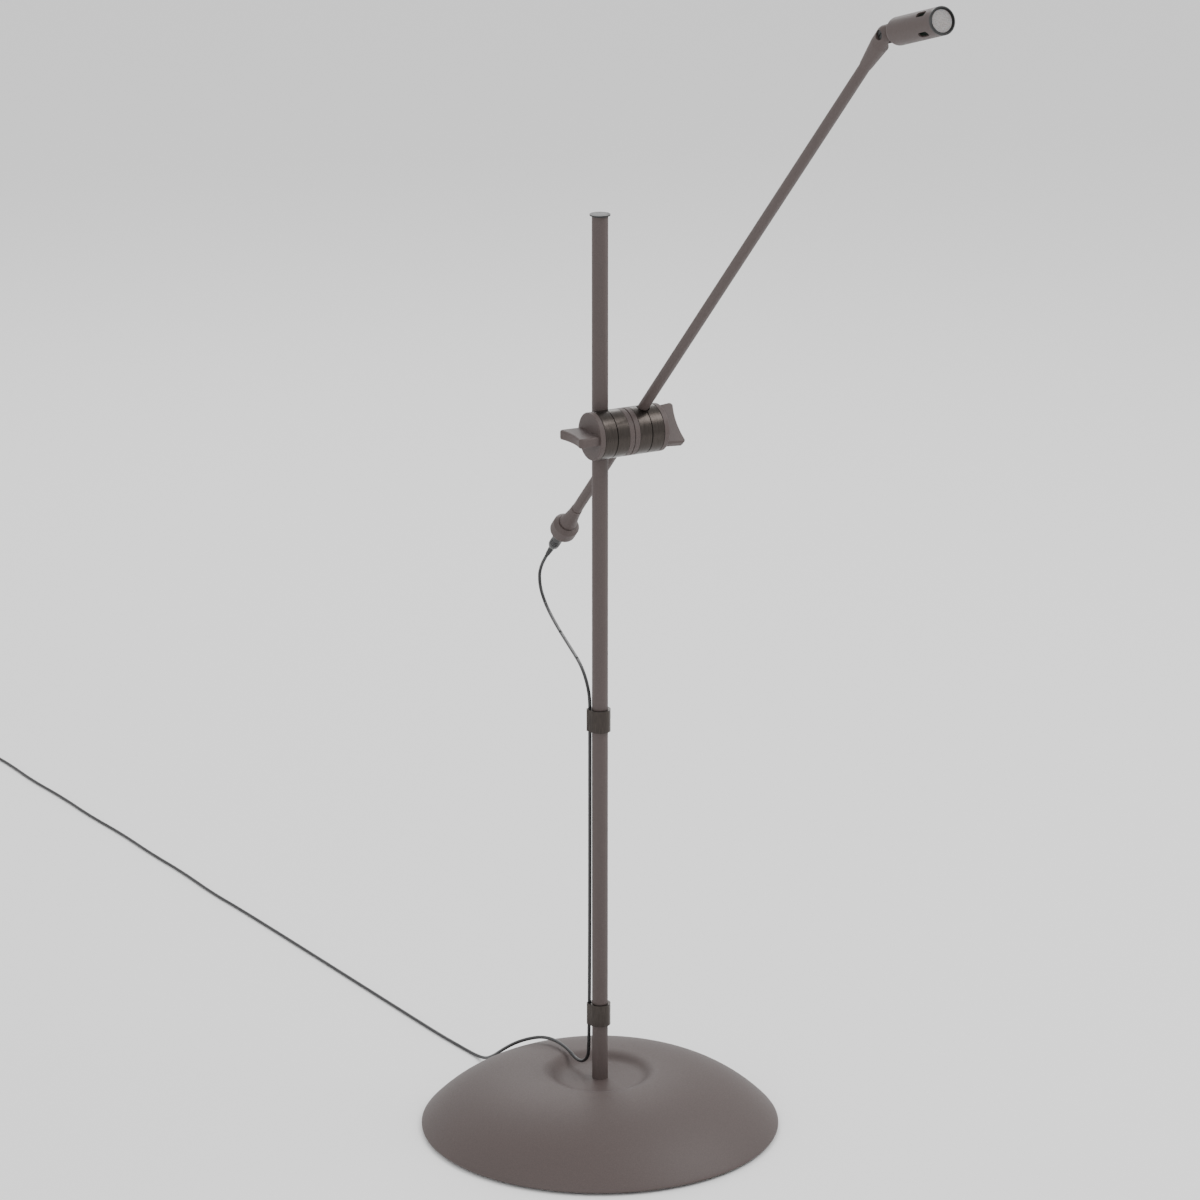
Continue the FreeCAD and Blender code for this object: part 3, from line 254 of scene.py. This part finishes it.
def circuit_board(name, base):
    """Solder mask over copper tracks."""
    board = Finish(name, base, 0.35)
    tracks = board.cells(700)
    board.shades(tracks, 0.7, 1.5, 0.2, 0.45)
    return board.relief(tracks, 0.00005, 0.6).material


def frosted_lens(name, base):
    """A frosted diffuser with a fine prismatic grain."""
    lens = Finish(name, base, 0.45)
    grain = lens.cells(1100)
    lens.shades(grain, 0.72, 1.12, 0.1, 0.6)
    lens.relief(grain, 0.00014, 0.7)
    return lens.set(Subsurface_Weight=0.2, Coat_Weight=0.25).material


def mirror(name, base):
    """The vacuum-metallised cup."""
    cup = Finish(name, base, 0.08, 1.0)
    return cup.relief(cup.noise(90, 2), 0.00005, 0.3).material


def phosphor(name, base):
    """The LED's domed phosphor."""
    chip = Finish(name, base, 0.5)
    return chip.relief(chip.noise(1500, 3), 0.00006, 0.6).material


def make_finishes(colours):
    """Every finish, by the record's slot names."""
    taupe, black = tuple(colours.taupe), tuple(colours.black)
    return {
        "taupe_paint": powder_coat("taupe_powder_coat", taupe),
        "dark_metal": satin_metal("satin_bronze", tuple(colours.bronze)),
        "cap_black": moulded("black_cap_plastic", black, 0.42),
        "cast_iron": cast_iron("sand_cast_iron", (0.06, 0.06, 0.065)),
        "steel": machined("zinc_plated_steel", (0.42, 0.42, 0.43)),
        # near-black base plate: black sheet paint, and also painted shade standing in for the dark
        # shadow line under the rim
        "plate_black": powder_coat("black_plate_paint_and_painted_shade", (0.015, 0.015, 0.015)),
        "felt": felt("pressed_felt", (0.012, 0.012, 0.014)),
        "nylon": moulded("natural_nylon", (0.60, 0.58, 0.52), 0.4),
        "friction_fibre": moulded("friction_fibre", (0.10, 0.055, 0.028), 0.7, 0.0002),
        "cord_black": jacket("lead_jacket", tuple(colours.lead)),
        "plug_black": moulded("plug_plastic", tuple(colours.lead), 0.26, 0.00003),
        "wire_red": jacket("wire_insulation", (0.28, 0.02, 0.015)),
        "board_green": circuit_board("green_solder_mask", (0.012, 0.03, 0.018)),
        "aluminium": machined("turned_aluminium", (0.58, 0.58, 0.59), 0.35),
        "led_yellow": phosphor("led_phosphor", (0.72, 0.46, 0.06)),
        "reflector": mirror("reflector_mirror", (0.85, 0.85, 0.86)),
        "lens_frosted": frosted_lens("frosted_diffuser", tuple(colours.lens)),
        "brass": machined("brass_contact", (0.55, 0.38, 0.14), 0.28),
    }


FINISHES = {}


def dress(piece, slot):
    """Give a new piece the finish of the record's slot that it stands for."""
    piece.data.materials.clear()
    piece.data.materials.append(FINISHES[slot])
    return piece


# ---- lead -----------------------------------------------------------------------------------

# Routes are in millimetres and have the points that the frame's own tubes follow.
# CORD_SIDE is X and Y where the clips hold the lead beside the stem.
CORD_SIDE = (-6.58, 3.8)
HANGING_ROUTE = [
    (28.8, 135.6, 413.6), (28.8, 147.5, 401.4), (30.5, 152.0, 385.5), (28.5, 139.0, 373.5),
    (20.0, 106.0, 367.0), (9.6, 64.0, 362.0), (1.6, 33.0, 359.0), (-4.2, 12.8, 352.0),
    (*CORD_SIDE, 342.0), (*CORD_SIDE, 334.5),
]
STEM_AND_BASE_ROUTE = [
    (*CORD_SIDE, 334.5), (*CORD_SIDE, 62.0), (-6.4, 9.8, 49.5), (-6.0, 24.0, 43.8),
    (-5.6, 42.0, 48.0), (-5.6, 62.0, 47.6), (-7.0, 80.0, 44.0), (-10.5, 95.0, 37.8),
    (-15.0, 108.5, 30.5), (-18.5, 122.0, 21.0), (-20.5, 135.0, 11.0), (-21.0, 148.5, 3.6),
    (-21.8, 164.0, 1.3), (-23.5, 180.0, 1.3),
]
FLOOR_ROUTE = [
    (-26.6, 209.0, 1.3), (-28.7, 240.0, 1.3), (-46.5, 538.0, 1.3), (-52.0, 594.0, 1.3),
    (-53.0, 652.0, 1.3), (-58.0, 710.0, 1.3), (-60.0, 769.0, 1.3), (-66.0, 826.0, 1.3),
    (-68.0, 884.0, 1.3), (-74.0, 940.0, 1.3), (-75.0, 998.0, 1.3), (-81.5, 1048.0, 1.3),
    (-83.0, 1078.0, 1.3), (-82.0, 1097.0, 1.3),
]
TAIL_ROUTE = [(-82.7, 1120.6, 3.9), (-82.7, 1131.0, 4.4), (-82.7, 1141.0, 5.6)]
# the put-away turns: points in a turn, turns on the floor and on top of them, how far apart
# the top ones lie in diameters, and the steps in which the lead climbs between them
TURN_STEPS = 16
FLOOR_TURNS = 3
TOP_TURNS = 2
TOP_SPREAD = 1.25
CLIMB_STEPS = 3


def metres(route):
    return [Vector(point) * MM for point in route]


def coil_route(sizes):
    """Points of the put-away turns: inward on the floor, up in the middle, outward on top."""
    centre = Vector((sizes.coil_centre_x, sizes.coil_centre_y, 0))
    pitch = sizes.lead_diameter
    points = []
    for step in range(1, (FLOOR_TURNS + TOP_TURNS) * TURN_STEPS + 1):
        turns = step / TURN_STEPS
        above = max(0, turns - FLOOR_TURNS)
        radius = sizes.coil_outer - pitch * min(turns, FLOOR_TURNS) + pitch * above * TOP_SPREAD
        height = pitch * (0.5 + min(1, above * TURN_STEPS / CLIMB_STEPS))
        angle = turns * 2 * math.pi
        points.append(centre + Vector((
            radius * math.cos(angle), radius * math.sin(angle), height)))
    return points


def smooth_line(name, points):
    """An open spline that runs smoothly near its points."""
    curve = bpy.data.curves.new(name, "CURVE")
    curve.dimensions = "3D"
    curve.resolution_u = 12
    spline = curve.splines.new("NURBS")
    spline.points.add(len(points) - 1)
    for place, point in zip(spline.points, points):
        place.co = (*point, 1)
    spline.order_u = 3
    spline.use_endpoint_u = True
    piece = bpy.data.objects.new(name, curve)
    bpy.context.collection.objects.link(piece)
    return piece


def line_points(name, points):
    """The smooth line's own points, read from a curve without thickness."""
    line = smooth_line(name, points)
    bpy.context.view_layer.update()
    mesh = bpy.data.meshes.new_from_object(line)
    found = [vertex.co.copy() for vertex in mesh.vertices]
    bpy.data.meshes.remove(mesh)
    bpy.data.objects.remove(line)
    return found


def path_length(points):
    """Length of the straight steps between the points of a line."""
    return sum((b - a).length for a, b in zip(points, points[1:]))


def tube(name, points, radius, sides=16):
    """A closed round tube along a line, its rings carried along without twist."""
    shape = bmesh.new()
    ahead = (points[1] - points[0]).normalized()
    side = ahead.orthogonal().normalized()
    rings = []
    for n, point in enumerate(points):
        before, after = points[max(0, n - 1)], points[min(len(points) - 1, n + 1)]
        now = (after - before).normalized()
        side = (side - now * side.dot(now)).normalized()
        across = now.cross(side)
        rings.append([shape.verts.new(point + radius * (
            side * math.cos(2 * math.pi * k / sides) + across * math.sin(2 * math.pi * k / sides)))
            for k in range(sides)])
    for low, high in zip(rings, rings[1:]):
        for k in range(sides):
            after = (k + 1) % sides
            shape.faces.new((low[k], low[after], high[after], high[k]))
    shape.faces.new(reversed(rings[0]))
    shape.faces.new(rings[-1])
    bmesh.ops.recalc_face_normals(shape, faces=shape.faces)
    mesh = bpy.data.meshes.new(name)
    shape.to_mesh(mesh)
    shape.free()
    mesh.polygons.foreach_set("use_smooth", [len(f.vertices) == 4 for f in mesh.polygons])
    piece = bpy.data.objects.new(name, mesh)
    bpy.context.collection.objects.link(piece)
    return piece


class LAMP_OT_main_lead(bpy.types.Operator):
    """Lay the lead down the stem, over the base, over the table and into its coil"""
    bl_idname = "lamp.main_lead"
    bl_label = "Main lead"

    def execute(self, context):
        sizes = context.scene.lamp_sizes
        route = metres(STEM_AND_BASE_ROUTE + FLOOR_ROUTE) + coil_route(sizes) + metres(TAIL_ROUTE)
        lead = smooth_line("lead_main", route)
        lead.data.bevel_depth = sizes.lead_diameter / 2
        lead.data.bevel_resolution = 4
        lead.data.use_fill_caps = True
        dress(lead, "cord_black")
        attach(lead, "stand")
        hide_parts("cord_stem_run", "cord_floor_run", "cord_coil", "cord_tail")
        line = line_points("lead_main_line", route)
        return {"FINISHED"}


def share(line, n, count):
    """The nth of some stretches of about equal length, which meet at a point."""
    whole = path_length(line)
    inside = [k for k in range(len(line))
              if n * whole <= path_length(line[:k + 1]) * count <= (n + 1) * whole]
    first = max(0, inside[0] - 1) if n else 0
    return line[first:inside[-1] + 1]


HANGING_BODIES = ["lead_end", "arm_clamp", "stem_clamp", "stem_sleeve", "stand"]


class LAMP_OT_hanging_lead(bpy.types.Operator):
    """Hang the lead from the plug to the upper clip, as stretches of about equal length"""
    bl_idname = "lamp.hanging_lead"
    bl_label = "Hanging lead"

    def execute(self, context):
        diameter = context.scene.lamp_sizes.lead_diameter
        line = line_points("lead_hanging_line", metres(HANGING_ROUTE))
        for n, (upper, lower) in enumerate(zip(HANGING_BODIES, HANGING_BODIES[1:])):
            part = share(line, n, len(HANGING_BODIES) - 1)
            piece = dress(tube(f"lead_hanging_{n + 1}", part, diameter / 2), "cord_black")
            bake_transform(piece)
            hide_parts("cord_hanging")
        return {"FINISHED"}


# ---- turned and moulded pieces --------------------------------------------------------------

def arc(centre, radius, start, end, steps):
    """Points of an arc in degrees, counted from straight up towards the outside."""
    angles = [math.radians(start + (end - start) * k / steps) for k in range(steps + 1)]
    return [(centre[0] + radius * math.sin(a), centre[1] + radius * math.cos(a)) for a in angles]


def lathe(name, outline, steps=96):
    """Spin a half outline of (radius, height) points in millimetres about Z."""
    mesh = bpy.data.meshes.new(name)
    points = [(radius * MM, 0, height * MM) for radius, height in outline]
    mesh.from_pydata(points, [(n, n + 1) for n in range(len(points) - 1)], [])
    piece = bpy.data.objects.new(name, mesh)
    bpy.context.collection.objects.link(piece)
    bpy.ops.object.select_all(action="DESELECT")
    bpy.context.view_layer.objects.active = piece
    piece.select_set(True)
    bpy.ops.object.mode_set(mode="EDIT")
    bpy.ops.mesh.select_all(action="SELECT")
    bpy.ops.mesh.spin(steps=steps, angle=2 * math.pi, center=(0, 0, 0), axis=(0, 0, 1))
    bpy.ops.mesh.select_all(action="SELECT")
    bpy.ops.mesh.remove_doubles(threshold=1e-6)
    bpy.ops.mesh.normals_make_consistent(inside=False)
    bpy.ops.object.mode_set(mode="OBJECT")
    bpy.ops.object.shade_smooth_by_angle(angle=math.radians(40))
    piece.select_set(False)
    return piece


GROOVE = 0.35
# a rib's outline: heights as shares of its pitch, and how deep in the groove each point is
RIB = ((0, 1), (0.3, 1), (0.42, 0), (0.88, 0), (1, 1))


def ribs(low, high, start, end, count):
    """Outline of a tapered sleeve with raised rings, from one height up to another."""
    pitch = (end - start) / count
    points = []
    for n in range(count):
        radius = low + (high - low) * (n + 0.5) / count
        points += [(radius - GROOVE * depth, start + (n + up) * pitch) for up, depth in RIB]
    return points


# the pressing, in millimetres
CREST_RADIUS = 45.0
DISH_RADIUS = 27.0
DISH_HEIGHT = 38.1
DISH_FLAT = 21.0
SHELL_WALL = 3.0
STEM_HOLE = 5.1
RIM_LIP = 1.6
RIM_SHOULDER = 0.5
RIM_TOP_ROUND = 0.6
RIM_FOOT_ROUND = 0.45


def base_outline(rim, floor, crest):
    """Half outline of the pressing, whose outer radius, lowest and highest points are given."""
    rise = crest - floor - RIM_LIP
    crown = ((rim - CREST_RADIUS) ** 2 + rise ** 2) / (2 * rise)
    spread = math.degrees(math.asin((rim - CREST_RADIUS) / crown))
    half, fall = (CREST_RADIUS - DISH_RADIUS) / 2, (crest - DISH_HEIGHT) / 2
    dip = (half ** 2 + fall ** 2) / (2 * fall)
    slope = math.degrees(math.asin(half / dip))
    centre = (CREST_RADIUS, crest - crown)
    inner_end = math.degrees(math.acos((floor - centre[1]) / (crown - SHELL_WALL)))
    shoulder = (rim - RIM_TOP_ROUND, floor + RIM_LIP - RIM_SHOULDER)
    foot = (rim - RIM_FOOT_ROUND, floor + RIM_FOOT_ROUND)
    under_dish = DISH_HEIGHT - SHELL_WALL
    return [
        (STEM_HOLE, DISH_HEIGHT), (DISH_FLAT, DISH_HEIGHT),
        *arc((DISH_RADIUS, DISH_HEIGHT + dip), dip, 180, 180 - slope, 12),
        *arc((CREST_RADIUS, crest - dip), dip, -slope, 0, 12)[1:],
        *arc(centre, crown, 0, spread, 64)[1:-1],
        *arc(shoulder, RIM_TOP_ROUND, 55, 90, 4),
        *arc(foot, RIM_FOOT_ROUND, 90, 180, 4),
        *arc(centre, crown - SHELL_WALL, inner_end, 0, 32),
        (DISH_RADIUS, under_dish), (STEM_HOLE, under_dish), (STEM_HOLE, DISH_HEIGHT),
    ]


class LAMP_OT_base(bpy.types.Operator):
    """Press the domed base: crown, rolled rim and the dish round the stem"""
    bl_idname = "lamp.base"
    bl_label = "Base"

    def execute(self, context):
        low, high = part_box("base_shell")
        outline = base_outline(high[0] / MM, low[2] / MM, high[2] / MM)
        base = dress(lathe("base_pressing", outline, 160), "taupe_paint")
        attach(base, "stand")
        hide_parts("base_shell")
        return {"FINISHED"}


# the plug, in millimetres; heights are below its seat in the collar, where the barrel starts
BARREL_LENGTH = 9.7
PLUG_RADIUS = 4.2
PLUG_ROUND = 0.8
RELIEF_END = -31.0
RELIEF_TOP = -20.4
RELIEF_RADII = (1.7, 2.3)
GRIP_START = -12.6
GRIP_PITCH = 2.0
GRIP_COUNT = 3


def plug_outline():
    """Half outline of the plug below the collar: relief, shoulder, grip grooves and round top."""
    grip = PLUG_RADIUS - GROOVE
    points = [(0, RELIEF_END), (1.5, RELIEF_END), *ribs(*RELIEF_RADII, RELIEF_END, RELIEF_TOP, 6)]
    points += [(2.3, -20.0), (2.9, -18.9), (3.7, -17.4), (PLUG_RADIUS, -16.0)]
    for n in range(GRIP_COUNT):
        at = GRIP_START + GRIP_PITCH * n
        points += [(PLUG_RADIUS, at - 0.55), (grip, at - 0.3), (grip, at + 0.3),
                   (PLUG_RADIUS, at + 0.55)]
    round_centre = (PLUG_RADIUS - PLUG_ROUND, -PLUG_ROUND)
    return [*points, (PLUG_RADIUS, -0.9), *arc(round_centre, PLUG_ROUND, 90, 0, 5), (0, 0)]


class LAMP_OT_plug(bpy.types.Operator):
    """Mould the plug under the collar, with grip rings and a ribbed strain relief"""
    bl_idname = "lamp.plug"
    bl_label = "Plug"

    def execute(self, context):
        low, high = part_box("plug_barrel")
        seat = (Vector(low) + Vector(high)) / 2 - ARM_UP * BARREL_LENGTH / 2 * MM
        plug = dress(lathe("plug_moulding", plug_outline(), 64), "plug_black")
        turn = ARM_UP.to_track_quat("Z", "Y").to_matrix().to_4x4()
        plug.data.transform(Matrix.Translation(seat) @ turn)
        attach(plug, "lead_end")
        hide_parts("lead_plug")
        return {"FINISHED"}


# the gland's radii at the lead and at the adapter, and the length of its plain end
GLAND_RADII = (1.7, 2.6)
GLAND_BAND = 1.2


class LAMP_OT_gland(bpy.types.Operator):
    """Mould the ribbed strain relief where the lead enters the adapter"""
    bl_idname = "lamp.gland"
    bl_label = "Gland"

    def execute(self, context):
        low, high = (Vector(corner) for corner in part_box("adapter_strain_relief"))
        long = (high.y - low.y) / MM
        band = GLAND_RADII[1]
        outline = [(0, 0), (1.4, 0), *ribs(*GLAND_RADII, 0, long - GLAND_BAND, 6),
                   (band, long - 1.0), (band, long), (0, long)]
        gland = dress(lathe("gland_moulding", outline, 48), "plug_black")
        middle = (low + high) / 2
        turn = Matrix.Rotation(math.radians(-90), 4, "X")
        gland.data.transform(Matrix.Translation((middle.x, low.y, middle.z)) @ turn)
        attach(gland, "stand")
        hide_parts("adapter_strain_relief")
        return {"FINISHED"}


# ---- frame nodes ----------------------------------------------------------------------------

class LAMP_OT_finishes(bpy.types.Operator):
    """Make every finish and give each node of the frame its own"""
    bl_idname = "lamp.finishes"
    bl_label = "Finishes"

    def execute(self, context):
        FINISHES.update(make_finishes(context.scene.lamp_colours))
        for part in frame["record"]["subparts"]:
            node = frame["nodes"][part["node"]]
            node.data.materials.clear()
            node.data.materials.append(FINISHES[part["material_slot"]])
        return {"FINISHED"}


# ---- stage ----------------------------------------------------------------------------------

SKY_STRENGTH = 1.1
LENS = 150
SENSOR = 36
EYE = Vector((-1.7026, -3.0881, 1.5125))
AIM = Vector((0, 0, 0.4182))
# name, place, what it points at, watts and side
LIGHTS = (
    ("key", (1.6, -0.9, 2.4), (0, 0, 0.4), 40, 1.4),
    ("fill", (-2.2, -1.4, 1.6), (0, 0, 0.4), 16, 1.6),
    ("rim", (0.8, 2.2, 1.9), (0, 0, 0.5), 18, 1.2),
)


def area_light(name, place, aim, power, side):
    """A square soft light that points at a place."""
    light = bpy.data.lights.new(name, "AREA")
    light.energy = power
    light.size = side
    lamp = bpy.data.objects.new(name, light)
    lamp.location = place
    lamp.rotation_euler = (Vector(aim) - Vector(place)).to_track_quat("-Z", "Y").to_euler()
    bpy.context.collection.objects.link(lamp)


class LAMP_OT_stage(bpy.types.Operator):
    """Set up the pale floor, the soft studio light and the camera"""
    bl_idname = "lamp.stage"
    bl_label = "Stage"

    def execute(self, context):
        side = context.scene.lamp_sizes.floor_width
        bpy.ops.mesh.primitive_plane_add(size=side, location=(0, 0, 0))
        floor = context.object
        floor.name = "floor"
        paper = Finish("pale_floor", tuple(context.scene.lamp_colours.floor), 0.6)
        floor.data.materials.append(paper.material)

        world = bpy.data.worlds.new("studio")
        world.use_nodes = True
        sky = world.node_tree.nodes["Background"]
        sky.inputs["Color"].default_value = (1, 1, 1, 1)
        sky.inputs["Strength"].default_value = SKY_STRENGTH
        context.scene.world = world
        for light in LIGHTS:
            area_light(*light)

        lens = bpy.data.cameras.new("camera")
        lens.lens = LENS
        lens.sensor_width = SENSOR
        camera = bpy.data.objects.new("camera", lens)
        camera.location = EYE
        camera.rotation_euler = (AIM - EYE).to_track_quat("-Z", "Y").to_euler()
        bpy.context.collection.objects.link(camera)
        context.scene.camera = camera
        return {"FINISHED"}


# ---- panel and run --------------------------------------------------------------------------

OPERATORS = (
    LAMP_OT_finishes,
    LAMP_OT_stage,
    LAMP_OT_gland,
    LAMP_OT_main_lead,
    LAMP_OT_hanging_lead,
    LAMP_OT_plug,
    LAMP_OT_base,
)


class LAMP_PT_panel(bpy.types.Panel):
    """The lamp's colours, sizes and build steps"""
    bl_idname = "LAMP_PT_panel"
    bl_label = "Desk lamp"
    bl_space_type = "VIEW_3D"
    bl_region_type = "UI"
    bl_category = "Lamp"

    def draw(self, context):
        for settings in (context.scene.lamp_colours, context.scene.lamp_sizes):
            for name in settings.__annotations__:
                self.layout.prop(settings, name)
        for operator in OPERATORS:
            self.layout.operator(operator.bl_idname)


CLASSES = (LampColours, LampSizes, *OPERATORS, LAMP_PT_panel)


def register():
    for item in CLASSES:
        bpy.utils.register_class(item)
    bpy.types.Scene.lamp_colours = bpy.props.PointerProperty(type=LampColours)
    bpy.types.Scene.lamp_sizes = bpy.props.PointerProperty(type=LampSizes)


def unregister():
    del bpy.types.Scene.lamp_sizes
    del bpy.types.Scene.lamp_colours
    for item in reversed(CLASSES):
        bpy.utils.unregister_class(item)


def main():
    register()
    bpy.ops.object.select_all(action="DESELECT")
    for operator in OPERATORS:
        group, name = operator.bl_idname.split(".")
        getattr(getattr(bpy.ops, group), name)()


if __name__ == "__main__":
    main()
